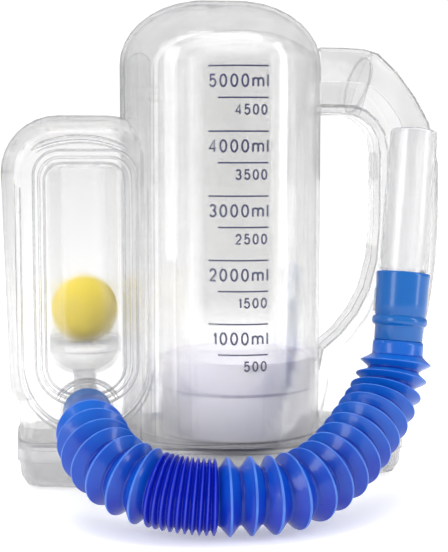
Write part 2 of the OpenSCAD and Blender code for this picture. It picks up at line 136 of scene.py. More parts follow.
def finish_mesh(name, verts, faces, materials, smooth=True):
    """An object from points in millimetres."""
    mesh = bpy.data.meshes.new(name)
    mesh.from_pydata([(v[0] * MM, v[1] * MM, v[2] * MM) for v in verts], [], faces)
    mesh.validate()
    for polygon in mesh.polygons:
        polygon.use_smooth = smooth
    for material in materials:
        mesh.materials.append(material)
    piece = bpy.data.objects.new(name, mesh)
    bpy.context.scene.collection.objects.link(piece)
    return piece


def join_rings(rings, closed_loop=False, first_cap=False, last_cap=False):
    """Points and faces of a skin over rings of equal count."""
    n = len(rings[0])
    verts = [p for ring in rings for p in ring]
    faces = []
    last = len(rings) if closed_loop else len(rings) - 1
    for i in range(last):
        above = (i + 1) % len(rings)
        for k in range(n):
            step = (k + 1) % n
            faces.append((i * n + k, i * n + step, above * n + step, above * n + k))
    if first_cap:
        faces.append(tuple(range(n - 1, -1, -1)))
    if last_cap:
        faces.append(tuple((len(rings) - 1) * n + k for k in range(n)))
    return verts, faces


def circle(centre, side, up, r, sides):
    """Points round a centre, in the plane of two directions at right angles."""
    return [centre + r * (side * math.cos(2 * math.pi * k / sides)
                          + up * math.sin(2 * math.pi * k / sides)) for k in range(sides)]


def dress(piece, body, node=None):
    """Attaches a piece to the body that carries it, and hides the node it stands for."""
    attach(piece, body)
    if node:
        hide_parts(node)


# Camera: the photograph's place, height and angle of view

FOCAL_PIXELS = 1300.0
PHOTO_HEIGHT = 552.0
SENSOR_HEIGHT = 36.0
CAMERA_AT = (-0.0983, -0.699, 0.178)
DEGREES_DOWN = 5.62
DEGREES_RIGHT = 8.0


def photo_camera():
    data = bpy.data.cameras.new("photo_camera")
    data.sensor_fit = "VERTICAL"
    data.sensor_height = SENSOR_HEIGHT
    data.lens = FOCAL_PIXELS / PHOTO_HEIGHT * SENSOR_HEIGHT
    data.clip_start = 0.05
    data.clip_end = 20.0
    camera = bpy.data.objects.new("photo_camera", data)
    bpy.context.scene.collection.objects.link(camera)
    camera.location = CAMERA_AT
    camera.rotation_euler = (math.radians(90 - DEGREES_DOWN), 0.0, math.radians(-DEGREES_RIGHT))
    bpy.context.scene.camera = camera


photo_camera()


# Materials

POLYSTYRENE_IOR = 1.59
# Depth in millimetres of the waves that a mould leaves, and of a plastic's grain
WAVE_DEPTH = 0.12
GRAIN_DEPTH = 0.05
CLOUD_PER_GRAIN = 20
# How late a clear wall turns grey as it is seen more and more edge on
EDGE_POWER = 5.0
# The colour sockets of a Mix node, which has a set of sockets for each kind of value
MIX_A, MIX_B, MIX_RESULT = 6, 7, 2


def wavy_bump(tree, scale_mm, strength, distance_mm, detail=2.0):
    """A bump whose waves are scale_mm apart."""
    place = add_node(tree, "ShaderNodeTexCoord")
    noise = add_node(tree, "ShaderNodeTexNoise", [("Vector", place.outputs["Object"])],
                     Scale=1000.0 / scale_mm, Detail=detail, Roughness=0.5)
    return add_node(tree, "ShaderNodeBump", [("Height", noise.outputs["Fac"])],
                    Strength=strength, Distance=distance_mm * MM)


def clear_polystyrene(name, roughness, tint, shadow, wave_mm=14.0, wave_strength=0.25, straight=0.2,
                      dome_tint=None, dome_mm=None, edge_tint=None):
    """Injection-moulded clear polystyrene: sharp reflections on a slightly wavy moulded face,
    light that passes on through it to the floor, and a share that goes straight through. With a
    dome, a painted grey shade takes over as the second tint between two heights; with an edge
    tint, a wall seen edge on, where the way through it is long, turns grey."""
    material, tree = new_material(name)
    bump = wavy_bump(tree, wave_mm, wave_strength, WAVE_DEPTH)
    plastic = add_node(tree, "ShaderNodeBsdfPrincipled", [("Normal", bump.outputs["Normal"])],
                       Base_Color=linear(tint), Roughness=roughness, IOR=POLYSTYRENE_IOR)
    plastic.inputs["Transmission Weight"].default_value = 1.0
    if dome_mm:
        place = add_node(tree, "ShaderNodeTexCoord")
        axes = add_node(tree, "ShaderNodeSeparateXYZ", [("Vector", place.outputs["Object"])])
        rise = add_node(tree, "ShaderNodeMapRange", [("Value", axes.outputs["Z"])],
                        From_Min=dome_mm[0] * MM, From_Max=dome_mm[1] * MM)
        tone = add_node(tree, "ShaderNodeMix", [("Factor", rise.outputs["Result"])], data_type="RGBA")
        tone.inputs[MIX_A].default_value = linear(tint)
        tone.inputs[MIX_B].default_value = linear(dome_tint)
        tree.links.new(tone.outputs[MIX_RESULT], plastic.inputs["Base Color"])
    through = add_node(tree, "ShaderNodeBsdfTransparent", Color=linear(shadow))
    if edge_tint:
        slant = add_node(tree, "ShaderNodeLayerWeight", Blend=0.5)
        steep = add_node(tree, "ShaderNodeMath", [(0, slant.outputs["Facing"])], operation="POWER")
        steep.inputs[1].default_value = EDGE_POWER
        edge = add_node(tree, "ShaderNodeMix", [("Factor", steep.outputs["Value"])], data_type="RGBA")
        edge.inputs[MIX_A].default_value = linear(shadow)
        edge.inputs[MIX_B].default_value = linear(edge_tint)
        tree.links.new(edge.outputs[MIX_RESULT], through.inputs["Color"])
    path = add_node(tree, "ShaderNodeLightPath")
    share = add_node(tree, "ShaderNodeMath", [(0, path.outputs["Is Shadow Ray"])], operation="MAXIMUM")
    share.inputs[1].default_value = straight
    mixed = add_node(tree, "ShaderNodeMixShader",
                     [("Fac", share.outputs["Value"]), (1, plastic.outputs["BSDF"]),
                      (2, through.outputs["BSDF"])])
    add_node(tree, "ShaderNodeOutputMaterial", [("Surface", mixed.outputs["Shader"])])
    return material


def solid_plastic(name, colour, second_colour, roughness, grain_mm, ior=1.5, subsurface=0.0,
                  coat=0.0, bump_strength=0.1, sheer=0.0, sheer_colour="#FFFFFF", patch_mm=None,
                  rise_mm=None):
    """A moulded or blown coloured plastic, faintly cloudy in its colour and grain. With a rise,
    the second colour takes over between its two heights."""
    material, tree = new_material(name)
    place = add_node(tree, "ShaderNodeTexCoord")
    cloud = add_node(tree, "ShaderNodeTexNoise", [("Vector", place.outputs["Object"])],
                     Scale=1000.0 / (patch_mm or grain_mm * CLOUD_PER_GRAIN), Detail=3.0)
    share = cloud.outputs["Fac"]
    if rise_mm:
        axes = add_node(tree, "ShaderNodeSeparateXYZ", [("Vector", place.outputs["Object"])])
        rise = add_node(tree, "ShaderNodeMapRange", [("Value", axes.outputs["Z"])],
                        From_Min=rise_mm[0] * MM, From_Max=rise_mm[1] * MM,
                        To_Min=-0.5, To_Max=0.5)
        share = add_node(tree, "ShaderNodeMath", [(0, share), (1, rise.outputs["Result"])],
                         operation="ADD", use_clamp=True).outputs["Value"]
    mixed = add_node(tree, "ShaderNodeMix", [("Factor", share)], data_type="RGBA")
    mixed.inputs[MIX_A].default_value = linear(colour)
    mixed.inputs[MIX_B].default_value = linear(second_colour)
    bump = wavy_bump(tree, grain_mm, bump_strength, GRAIN_DEPTH, 3.0)
    plastic = add_node(tree, "ShaderNodeBsdfPrincipled",
                       [("Normal", bump.outputs["Normal"]), ("Base Color", mixed.outputs[MIX_RESULT])],
                       Roughness=roughness, IOR=ior)
    plastic.inputs["Subsurface Weight"].default_value = subsurface
    plastic.inputs["Subsurface Radius"].default_value = (0.004, 0.004, 0.005)
    plastic.inputs["Coat Weight"].default_value = coat
    plastic.inputs["Coat Roughness"].default_value = 0.08
    top = plastic.outputs["BSDF"]
    if sheer > 0:
        glow = add_node(tree, "ShaderNodeBsdfTranslucent", [("Normal", bump.outputs["Normal"])],
                        Color=linear(sheer_colour))
        top = add_node(tree, "ShaderNodeMixShader", [(1, top), (2, glow.outputs["BSDF"])],
                       Fac=sheer).outputs["Shader"]
    add_node(tree, "ShaderNodeOutputMaterial", [("Surface", top)])
    return material


# Clear polystyrene, injection moulded and polished: the eye sees edges and streaks, not a face
clear = clear_polystyrene("clear_polystyrene_cylinder", 0.03, "#FCFCFC", "#FDFDFD", straight=0.4,
                          edge_tint="#B4B4B6")
# The tower's shell, with a painted grey shade across its dome
tower_clear = clear_polystyrene("clear_polystyrene_tower", 0.03, "#FCFCFC", "#FCFCFC",
                                straight=0.5, dome_tint="#FAFAFA", dome_mm=(214.0, 250.0),
                                edge_tint="#B6B6BA")
# The chamber's and handle's halves: thicker walls, a light grey cast; across the chamber's top band, a
# painted grey shade
chamber_clear = clear_polystyrene("clear_polystyrene_chamber", 0.04, "#FAFAFA", "#FAFAFA",
                                  straight=0.5, dome_tint="#F2F2F2", dome_mm=(176.0, 190.0),
                                  edge_tint="#A6A6A9")
handle_clear = clear_polystyrene("clear_polystyrene_handle", 0.05, "#F8F8F8", "#F6F6F6",
                                 edge_tint="#A0A0A4")
stub_clear = clear_polystyrene("clear_polystyrene_stub", 0.06, "#EEEEEE", "#EEEEEE")
# Rounded edges of the mouldings, which turn the light away: their grey is painted shade, seen as thin
# grey lines
edge_clear = clear_polystyrene("clear_polystyrene_edge", 0.1, "#DEDEE0", "#E4E4E6", straight=0.4)
# The same, broad and shallow: a soft band of painted grey shade
soft_edge = clear_polystyrene("clear_polystyrene_step", 0.12, "#F0F0F1", "#F2F2F3", straight=0.3)
# The ball's cup, of the same plastic
cup_clear = clear_polystyrene("clear_polystyrene_cup", 0.06, "#F6F6F7", "#F8F8F8", straight=0.5)
# The same plastic from a matt mould: a soft, milky look
frosted = clear_polystyrene("frosted_polystyrene_moulded", 0.22, "#E2E2E3", "#E2E2E3", 6.0, 0.35)
# A lightly frosted tube, as it comes off its core pin: edges soften, what lies behind stays readable
satin = clear_polystyrene("satin_polystyrene_moulded", 0.22, "#F5F5F6", "#F6F6F6", 9.0, 0.3)
# The same clear plastic in a thin extruded tube: little more than its edges shows
thin_clear = clear_polystyrene("clear_polystyrene_extruded", 0.04, "#FBFBFB", "#FCFCFC", 20.0, 0.12,
                               straight=0.8)
# Polypropylene, moulded white: satin, with a cool lavender cast
white_pp = solid_plastic("white_polypropylene_moulded", "#E2E0E9", "#DDDAE5", 0.55, 0.8,
                         subsurface=0.1)
# The same, painted lighter on the skirt: painted light against the shade that falls on its lower part
skirt_pp_painted_light = solid_plastic("white_polypropylene_painted_light", "#F6F5FA", "#F1EFF6", 0.55, 0.8, subsurface=0.1)
# Silicone, moulded: duller and a shade darker than the piston
seal_rubber = solid_plastic("silicone_seal_moulded", "#B4B1C2", "#ABA8BA", 0.6, 0.5)
# Polypropylene, moulded yellow, a light hollow ball: soft gloss
yellow_pp = solid_plastic("yellow_polypropylene_moulded", "#E4CC04", "#DCC302", 0.45, 1.0,
                          subsurface=0.1)
# Open-cell foam, sawn: dark and dull
grey_foam = solid_plastic("polyurethane_foam_sawn", "#8A8C90", "#6E7074", 0.95, 1.5,
                          bump_strength=0.9)
# Blow-moulded polyethylene: glossy royal blue, thin enough for some light to pass; painted light and
# shade make it lighter higher up and darker towards the floor
blue_pe = solid_plastic("blue_polyethylene_blown", "#002CAA", "#0860C2", 0.3, 1.2, ior=1.4,
                        bump_strength=0.12, coat=0.3, sheer=0.1, sheer_colour="#1F66D8",
                        patch_mm=18.0, rise_mm=(12.0, 62.0))
# The same where the folds are pushed together: twice the plastic, so a deeper blue
folded_pe = solid_plastic("blue_polyethylene_folded", "#0018A2", "#021CAC", 0.24, 1.2, ior=1.4)
# The bottoms of the grooves, where the light hardly reaches
groove_pe = solid_plastic("blue_polyethylene_groove", "#001C8E", "#043EA2", 0.3, 1.2, ior=1.4)
# The crests, plain and folded: a painted highlight, pale along each crest
crest_pe = solid_plastic("blue_polyethylene_painted_highlight", "#1444B0", "#4A84D8", 0.35, 0.8, patch_mm=7.0)
folded_crest_pe = solid_plastic("blue_polyethylene_folded_edge", "#041896", "#1230B4", 0.3, 0.8)
# The same stretched over the port, before its first rib: thin and pale
thin_pe = solid_plastic("blue_polyethylene_stretched", "#1F5AC0", "#3A74CC", 0.26, 1.2,
                        sheer=0.3, sheer_colour="#6E9AE0")
# Soft vinyl cuffs, dipped: a lighter, milkier blue
blue_vinyl = solid_plastic("blue_vinyl_dipped", "#085CAE", "#166EBC", 0.25, 1.6, coat=0.2,
                           sheer=0.2, sheer_colour="#2C7CD4")
# Printed ink: dark navy, slightly glossy
scale_ink = solid_plastic("navy_ink_printed", "#141C4C", "#1A2458", 0.5, 0.3)


# Hose: one smooth line through the route, and rings round it

def curve_at(points, i, t):
    """The smooth line through all points, at the share t of its way from point i to the next."""
    a = points[max(i - 1, 0)]
    b = points[i]
    c = points[i + 1]
    d = points[min(i + 2, len(points) - 1)]
    return 0.5 * (2 * b + (c - a) * t + (2 * a - 5 * b + 4 * c - d) * t * t
                  + (3 * b - a - 3 * c + d) * t ** 3)


def lookup(table, x):
    """The value at x in a table of rising places and their values."""
    for (a, u), (b, v) in zip(table, table[1:]):
        if x <= b:
            return u + (v - u) * (x - a) / (b - a)
    return table[-1][1]


class Line:
    """The hose's centreline by length from its start, and the way its ribs face."""

    def __init__(self, points, steps=16):
        self.fine = [curve_at(points, i, k / steps)
                     for i in range(len(points) - 1) for k in range(steps)] + [points[-1].copy()]
        self.run = [0.0]
        for a, b in zip(self.fine, self.fine[1:]):
            self.run.append(self.run[-1] + (b - a).length)
        self.length = self.run[-1]

    def at(self, s):
        s = min(max(s, 0.0), self.length)
        low, high = 0, len(self.run) - 1
        while high - low > 1:
            middle = (low + high) // 2
            if self.run[middle] <= s:
                low = middle
            else:
                high = middle
        t = (s - self.run[low]) / max(self.run[high] - self.run[low], 1e-9)
        return self.fine[low].lerp(self.fine[high], t)

    def way(self, s):
        if s <= STRAIGHT_END / 2:
            return PORT_WAY
        if s >= self.length - STRAIGHT_END / 2:
            return MOUTH_WAY
        share = s / self.length
        way = (self.at(s + 1) - self.at(s - 1)).normalized()
        early = way.lerp(PORT_WAY, max(1 - share / DROOP_SHARE, 0)).normalized()
        return early.lerp(MOUTH_WAY, lookup(UPRIGHT_SHARES, share)).normalized()

    def ring(self, s, r):
        way = self.way(s)
        side = way.cross(RING_GUIDE).normalized()
        return circle(self.at(s), side, side.cross(way), r, HOSE_SIDES)


def rib_profile(s0, s1, folded):
    """Stations of one rib from groove to groove: straight flanks, a small round crest."""
    if folded:
        shape = [(0.0, 0.0), (0.1, 0.08), (0.22, 0.45), (0.34, 0.86), (0.43, 0.98), (0.5, 1.0),
                 (0.57, 0.98), (0.66, 0.86), (0.78, 0.45), (0.9, 0.08)]
        low, high = FOLDED_GROOVE_R, FOLDED_RIB_R
    else:
        shape = [(0.0, 0.0), (0.05, 0.02), (0.1, 0.1), (0.24, 0.42), (0.38, 0.78), (0.435, 0.9),
                 (0.455, 0.97), (0.48, 0.995), (0.5, 1.0), (0.52, 0.995), (0.545, 0.97),
                 (0.565, 0.9), (0.62, 0.78), (0.76, 0.42), (0.9, 0.1), (0.95, 0.02)]
        low, high = GROOVE_R, lookup(FIRST_RIBS, (s0 + s1) / 2)
    return [(s0 + (s1 - s0) * t, low + (high - low) * lift, folded) for t, lift in shape]


# Places of the hose's materials in its list
PLAIN, FOLDED, THIN, CREST, FOLDED_CREST, GROOVE = range(6)


def paint_ribs(polygons, stations, first_crest, last_groove):
    """Gives each band of faces the material for its place on its rib."""
    for i, ((s, r, folded), (_, next_r, _)) in enumerate(zip(stations, stations[1:])):
        low, high = min(r, next_r), max(r, next_r)
        # Crests take the painted highlight; low faces in the grooves take the painted shade
        if folded:
            kind = FOLDED_CREST if low > FOLDED_CREST_R else FOLDED
        elif low > lookup(FIRST_RIBS, s) - CREST_BAND:
            kind = CREST
        elif s < first_crest:
            kind = THIN
        elif s < last_groove - UNSHADED_END and high < GROOVE_R + GROOVE_BAND:
            kind = GROOVE
        else:
            kind = PLAIN
        for k in range(HOSE_SIDES):
            polygons[i * HOSE_SIDES + k].material_index = kind


def ribbed_hose():
    """The hose as a skin of rings outside and along its bore, and its centreline."""
    line = Line(ROUTE)
    total = line.length
    places = []
    for zone, ribs in enumerate(ZONE_RIBS):
        a, b = ZONE_SHARES[zone], ZONE_SHARES[zone + 1]
        places += [(total * (a + (b - a) * k / ribs), zone == FOLDED_ZONE) for k in range(ribs)]
    last_groove = total * ZONE_SHARES[-1]
    places.append((last_groove, False))
    stations = [(0.0, NECK_R, False), (total * ZONE_SHARES[0] * SWELL_SHARE, SWELL_R, False)]
    for (s0, folded), (s1, _) in zip(places, places[1:]):
        stations += rib_profile(s0, s1, folded)
    stations += [(last_groove, GROOVE_R, False), (total - NECK_LENGTH, GROOVE_R, False),
                 (total, NECK_R, False)]
    rings = [line.ring(s, r) for s, r, _ in stations]
    bore = [line.ring(total * k / BORE_RINGS, HOSE_BORE_R) for k in range(BORE_RINGS, -1, -1)]
    verts, faces = join_rings(rings + bore, closed_loop=True)
    hose = finish_mesh("ribbed_hose", verts, faces,
                       [blue_pe, folded_pe, thin_pe, crest_pe, folded_crest_pe, groove_pe])
    paint_ribs(hose.data.polygons, stations, (places[0][0] + places[1][0]) / 2, last_groove)
    return hose, line


def lathe(name, base, way, profile, material, sides=72):
    """A closed profile of (along, radius) turned round an axis."""
    way = way.normalized()
    side = way.orthogonal().normalized()
    up = way.cross(side)
    rings = [circle(base + way * along, side, up, r, sides) for along, r in profile]
    verts, faces = join_rings(rings, closed_loop=True)
    return finish_mesh(name, verts, faces, [material])


def bead(centre, half, r_low, r_high, steps=7):
    """A round bead on a tube, as profile points."""
    points = []
    for k in range(steps + 1):
        turn = math.pi * k / steps
        points.append((centre - half * math.cos(turn),
                       r_low + (r_high - r_low) * math.sin(turn) ** 0.8))
    return points


def lower_cuff():
    """A plain sleeve on the port, with rolled ends."""
    profile = [(0.0, CUFF_BORE_R), (0.0, 12.3), (0.4, 12.7), (1.0, CUFF_R), (16.6, CUFF_R),
               (17.6, 12.4), (LOWER_CUFF_H, 12.1), (LOWER_CUFF_H, CUFF_BORE_R)]
    return lathe("lower_cuff", Vector((-BALL_X, CUFF_FACE_Y, PORT_Z)), PORT_WAY, profile, blue_vinyl)


def upper_cuff():
    """Neck, bead, sleeve that widens towards the rim, and the rounded rim."""
    profile = [(0.0, CUFF_BORE_R), (0.0, 12.2), (0.6, CUFF_R), (7.6, CUFF_R), (8.1, 12.75)]
    profile += bead(10.6, 2.3, 12.9, BEAD_R)[1:-1]
    profile += [(13.0, 13.1), (13.4, 12.95), (13.9, 13.3), (20.0, 13.5), (30.0, SLEEVE_R),
                (34.0, 13.95), (35.2, 14.0), (35.8, 13.7), (UPPER_CUFF_H, 13.2),
                (UPPER_CUFF_H, CUFF_BORE_R)]
    return lathe("upper_cuff", CUFF_END, MOUTH_WAY, profile, blue_vinyl)


hose, hose_line = ribbed_hose()
cuffs = [lower_cuff(), upper_cuff()]
for piece, node, slot in ((hose, "hose", "blue_polyethylene"),
                          (cuffs[0], "hose_cuff_lower", "blue_vinyl"),
                          (cuffs[1], "hose_cuff_upper", "blue_vinyl")):
    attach(piece, "body")
    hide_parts(node)


# Printed scale on the front of the measuring cylinder

SCALE_R = CYLINDER_R + 0.12
SCALE_RIGHT = 16.9
Z_5000 = 219.6
Z_500 = 71.0
MARKS = 10
MARK_PEN = 0.8
# The marks halfway between two thousands sit a little higher than evenly spaced
HALF_LIFT = 0.5
# For the thousands and for the halves: the mark's length, how far the words end from its right
# end and start under it, their height, their pen and the gap between two signs
THOUSANDS = {"mark": 31.3, "inset": 0.9, "under": 4.0, "height": 6.9, "pen": 1.0, "gap": 1.45}
HALVES = {"mark": 26.2, "inset": 0.6, "under": 3.2, "height": 5.6, "pen": 0.88, "gap": 1.1}
# The painted reflection's place, how far its sheet lies off the cylinder, and how wide its edges fade
# out
REFLECTION_X = (-30.0, 17.0)
REFLECTION_Z = (74.0, 230.0)
REFLECTION_LIFT = (0.02, 0.08)
SIDE_FADE = 9.0
TOP_FADE = 12.0
LOW_FADE = (2.0, 30.0)
HAZE = 0.3


def wrap(x, z):
    """A point of the flat print, wrapped round the measuring cylinder; x is seen from the front."""
    turn = x / SCALE_R
    return (TOWER_X + SCALE_R * math.sin(turn), -SCALE_R * math.cos(turn), z)


def print_line(verts, faces, x0, x1, z, height):
    """A level line of the scale, in short flat steps round the cylinder."""
    steps = 12
    start = len(verts)
    for k in range(steps + 1):
        x = x0 + (x1 - x0) * k / steps
        verts.append(wrap(x, z - height / 2))
        verts.append(wrap(x, z + height / 2))
    for k in range(steps):
        a = start + k * 2
        faces.append((a, a + 2, a + 3, a + 1))


def oval(x, y, rx, ry, start, end, steps):
    """Points along an oval from one angle to another, in degrees."""
    points = []
    for k in range(steps + 1):
        turn = math.radians(start + (end - start) * k / steps)
        points.append((x + rx * math.cos(turn), y + ry * math.sin(turn)))
    return points


# Each sign: its width as a share of the height, and pen strokes in a box of one by one
SIGNS = {
    "0": (0.6, [oval(0.5, 0.5, 0.5, 0.5, 90, 450, 24)]),
    "1": (0.28, [[(0.0, 0.76), (0.55, 0.82), (1.0, 1.0)], [(1.0, 1.0), (1.0, 0.0)]]),
    "2": (0.58, [oval(0.5, 0.7, 0.5, 0.3, 170, -30, 14) + [(0.0, 0.0), (1.0, 0.0)]]),
    "3": (0.58, [oval(0.48, 0.76, 0.44, 0.24, 160, -90, 12),
                 oval(0.48, 0.26, 0.52, 0.26, 90, -160, 14)]),
    "4": (0.62, [[(0.78, 0.0), (0.78, 1.0), (0.0, 0.27), (1.0, 0.27)]]),
    "5": (0.6, [[(0.92, 1.0), (0.18, 1.0), (0.06, 0.5)]
                + oval(0.5, 0.33, 0.5, 0.33, 140, -160, 16)]),
    "m": (0.92, [[(0.0, 0.72), (0.0, 0.0)],
                 oval(0.25, 0.49, 0.25, 0.22, 180, 0, 8) + [(0.5, 0.0)],
                 oval(0.75, 0.49, 0.25, 0.22, 180, 0, 8) + [(1.0, 0.0)]]),
    "l": (0.0, [[(0.0, 0.0), (0.0, 1.0)]]),
}


def print_stroke(verts, faces, points, pen):
    """A ribbon of the pen's width along points on the flat print."""
    start = len(verts)
    for i, at in enumerate(points):
        before = points[max(i - 1, 0)]
        after = points[min(i + 1, len(points) - 1)]
        ways = []
        for a, b in ((before, at), (at, after)):
            length = math.hypot(b[0] - a[0], b[1] - a[1])
            if length > 0:
                ways.append(((a[1] - b[1]) / length, (b[0] - a[0]) / length))
        nx, nz = sum(w[0] for w in ways), sum(w[1] for w in ways)
        size = math.hypot(nx, nz)
        # At a corner the ribbon widens to keep its pen, but not into a long spike
        reach = pen / 2 * min(len(ways) / size, 1.4)
        nx, nz = nx / size * reach, nz / size * reach
        verts.append(wrap(at[0] - nx, at[1] - nz))
        verts.append(wrap(at[0] + nx, at[1] + nz))
    for k in range(len(points) - 1):
        a = start + k * 2
        faces.append((a, a + 2, a + 3, a + 1))


def print_words(verts, faces, words, right, z_top, height, pen, gap):
    """Words with their right end at right and their top at z_top."""
    tall = height - pen
    widths = [SIGNS[sign][0] * height for sign in words]
    x = right - sum(widths) - gap * (len(words) - 1)
    for sign, width in zip(words, widths):
        for stroke in SIGNS[sign][1]:
            points = [(x + pen / 2 + u * max(width - pen, 0), z_top - height + pen / 2 + v * tall)
                      for u, v in stroke]
            print_stroke(verts, faces, points, pen)
        x += max(width, pen) + gap


def printed_scale():
    """A mark for each 500 ml, with its number; the unit stands with the thousands."""
    verts, faces = [], []
    right = math.asin((SCALE_RIGHT - TOWER_X) / SCALE_R) * SCALE_R
    for k in range(MARKS):
        z = Z_5000 + (Z_500 - Z_5000) * k / (MARKS - 1)
        value = 5000 - 500 * k
        style, words = THOUSANDS, f"{value}ml"
        if value % 1000:
            style, words = HALVES, str(value)
            z += HALF_LIFT
        print_line(verts, faces, right - style["mark"], right, z, MARK_PEN)
        print_words(verts, faces, words, right - style["inset"], z - style["under"],
                    style["height"], style["pen"], style["gap"])
    piece = finish_mesh("printed_scale", verts, faces, [scale_ink], smooth=False)
    dress(piece, "body")


def print_varnish():
    """A painted reflection: a warm grey haze, as of the room mirrored in the cylinder, that fades out
    at all four edges.
    """
    material, tree = new_material("painted_reflection_haze")
    place = add_node(tree, "ShaderNodeTexCoord")
    axes = add_node(tree, "ShaderNodeSeparateXYZ", [("Vector", place.outputs["Object"])])
    share = None
    for axis, gone, full in (
            ("X", TOWER_X + REFLECTION_X[0], TOWER_X + REFLECTION_X[0] + SIDE_FADE),
            ("X", TOWER_X + REFLECTION_X[1], TOWER_X + REFLECTION_X[1] - SIDE_FADE),
            ("Z", REFLECTION_Z[0] + LOW_FADE[0], REFLECTION_Z[0] + LOW_FADE[1]),
            ("Z", REFLECTION_Z[1], REFLECTION_Z[1] - TOP_FADE)):
        fade = add_node(tree, "ShaderNodeMapRange", [("Value", axes.outputs[axis])],
                        interpolation_type="SMOOTHSTEP", From_Min=gone * MM,
                        From_Max=full * MM).outputs["Result"]
        if share is not None:
            fade = add_node(tree, "ShaderNodeMath", [(0, share), (1, fade)],
                            operation="MULTIPLY").outputs["Value"]
        share = fade
    haze = add_node(tree, "ShaderNodeMath", [(0, share)], operation="MULTIPLY")
    haze.inputs[1].default_value = HAZE
    film = add_node(tree, "ShaderNodeBsdfPrincipled", [("Alpha", haze.outputs["Value"])],
                    Base_Color=linear("#A9A8A6"), Roughness=0.6, IOR=1.5)
    add_node(tree, "ShaderNodeOutputMaterial", [("Surface", film.outputs["BSDF"])])
    return material


def print_ground():
    """A thin closed sheet on the cylinder behind the numbers, which carries the painted reflection."""
    steps = 24
    low, high = REFLECTION_LIFT
    section = [(low, REFLECTION_Z[0]), (high, REFLECTION_Z[0]), (high, REFLECTION_Z[1]), (low, REFLECTION_Z[1])]
    rings = []
    for k in range(steps + 1):
        turn = (REFLECTION_X[0] + (REFLECTION_X[1] - REFLECTION_X[0]) * k / steps) / SCALE_R
        rings.append([Vector((TOWER_X + (CYLINDER_R + lift) * math.sin(turn),
                              -(CYLINDER_R + lift) * math.cos(turn), z)) for lift, z in section])
    verts, faces = join_rings(rings, first_cap=True, last_cap=True)
    dress(finish_mesh("print_ground", verts, faces, [print_varnish()]), "body")


printed_scale()
print_ground()


# Mouldings that the photograph shows on the clear halves

# No edge runs this way, so it can tell each ring of an edge where to begin
EDGE_GUIDE = Vector((0.13, 1.0, 0.11))
# An open edge starts at this share of its pen and gains this much of it with each point
END_SHARE = 0.3
END_GAIN = 0.25


def edge_rod(name, points, pen, material, closed=False, node=None, sides=10):
    """A round edge of radius pen that follows points, closed on itself or thinner at its ends."""
    points = [Vector(p) for p in points]
    last = len(points) - 1
    rings = []
    for i, at in enumerate(points):
        before = points[i - 1] if closed else points[max(i - 1, 0)]
        after = points[(i + 1) % len(points)] if closed else points[min(i + 1, last)]
        way = (after - before).normalized()
        side = way.cross(EDGE_GUIDE).normalized()
        r = pen if closed else pen * min(1.0, END_SHARE + END_GAIN * min(i, last - i))
        rings.append(circle(at, side, side.cross(way), r, sides))
    verts, faces = join_rings(rings, closed_loop=closed, first_cap=not closed, last_cap=not closed)
    dress(finish_mesh(name, verts, faces, [material]), "body", node)


def corner(x, z, rx, rz, start, end, y, steps=10):
    """Points round a corner or arch that faces the front at the depth y."""
    return [(px, y, pz) for px, pz in oval(x, z, rx, rz, start, end, steps)]


def window_frame(box, r_low, r_high):
    """A rectangle with round corners on the chamber's face, as points."""
    x0, x1, z0, z1 = box
    return (corner(x1 - r_high, z1 - r_high, r_high, r_high, 0, 90, FACE_Y)
            + corner(x0 + r_high, z1 - r_high, r_high, r_high, 90, 180, FACE_Y)
            + corner(x0 + r_low, z0 + r_low, r_low, r_low, 180, 270, FACE_Y)
            + corner(x1 - r_low, z0 + r_low, r_low, r_low, 270, 360, FACE_Y))


# Three frames, one inside the other, with larger corners below than above
for name, box, r_low, r_high, pen, material in (
        ("window_frame_inner", (-96.8, -56.0, 51.0, 170.4), 15, 9, 0.7, edge_clear),
        ("window_frame_middle", (-99.4, -52.6, 48.4, 173.4), 18, 11, 0.8, soft_edge),
        ("window_frame_outer", (-102.2, -49.4, 45.4, 177.0), 21, 13, 0.7, edge_clear)):
    edge_rod(name, window_frame(box, r_low, r_high), pen, material, True)
# The shoulder over the window: a broad step with a fine line under it
edge_rod("shoulder_step", corner(-78.5, 172.0, 27.0, 11.4, 155, 25, FACE_Y, 18), 1.5, soft_edge)
edge_rod("shoulder_line", corner(-78.5, 170.0, 26.0, 10.8, 150, 30, FACE_Y, 18), 0.5, edge_clear)
# The deep round end of the chamber over the base, between its straight sides
for name, left, right, top, rx, rz, pen, material in (
        ("lower_end", -111.5, -40.5, 160.0, 35.5, 37.0, 0.6, edge_clear),
        ("lower_end_step", -109.0, -43.2, 158.0, 32.8, 34.0, 1.1, soft_edge)):
    edge_rod(name, [(left, FACE_Y, top)] + corner(-BALL_X, 66.0, rx, rz, 180, 360, FACE_Y + 0.5, 28)
             + [(right, FACE_Y, top)], pen, material)
# Two arches round the port's boss
for reach, pen, material in ((17.9, 0.7, edge_clear), (16.4, 0.6, soft_edge)):
    edge_rod(f"boss_arch_{reach:.0f}",
             corner(-BALL_X, PORT_Z - 1.0, reach, reach, 155, 25, FACE_Y - 1.2, 20), pen, material)
# The duct's strip at the tower's left: the seam beside it and its outline with a round top
edge_rod("duct_seam", [(-41.0, -33.5, z) for z in (27, 60, 120, 180, 219)], 0.4, edge_clear)
edge_rod("duct_edge", [(-51.6, -9.2, 30.0)] + corner(-46.1, 222.0, 5.5, 5.5, 180, 0, -9.2, 12)
         + [(-40.6, -9.2, 30.0)], 0.45, edge_clear)


# The ball with its cup and stop

BALL_AXIS = Vector((-BALL_X, 0, 0))


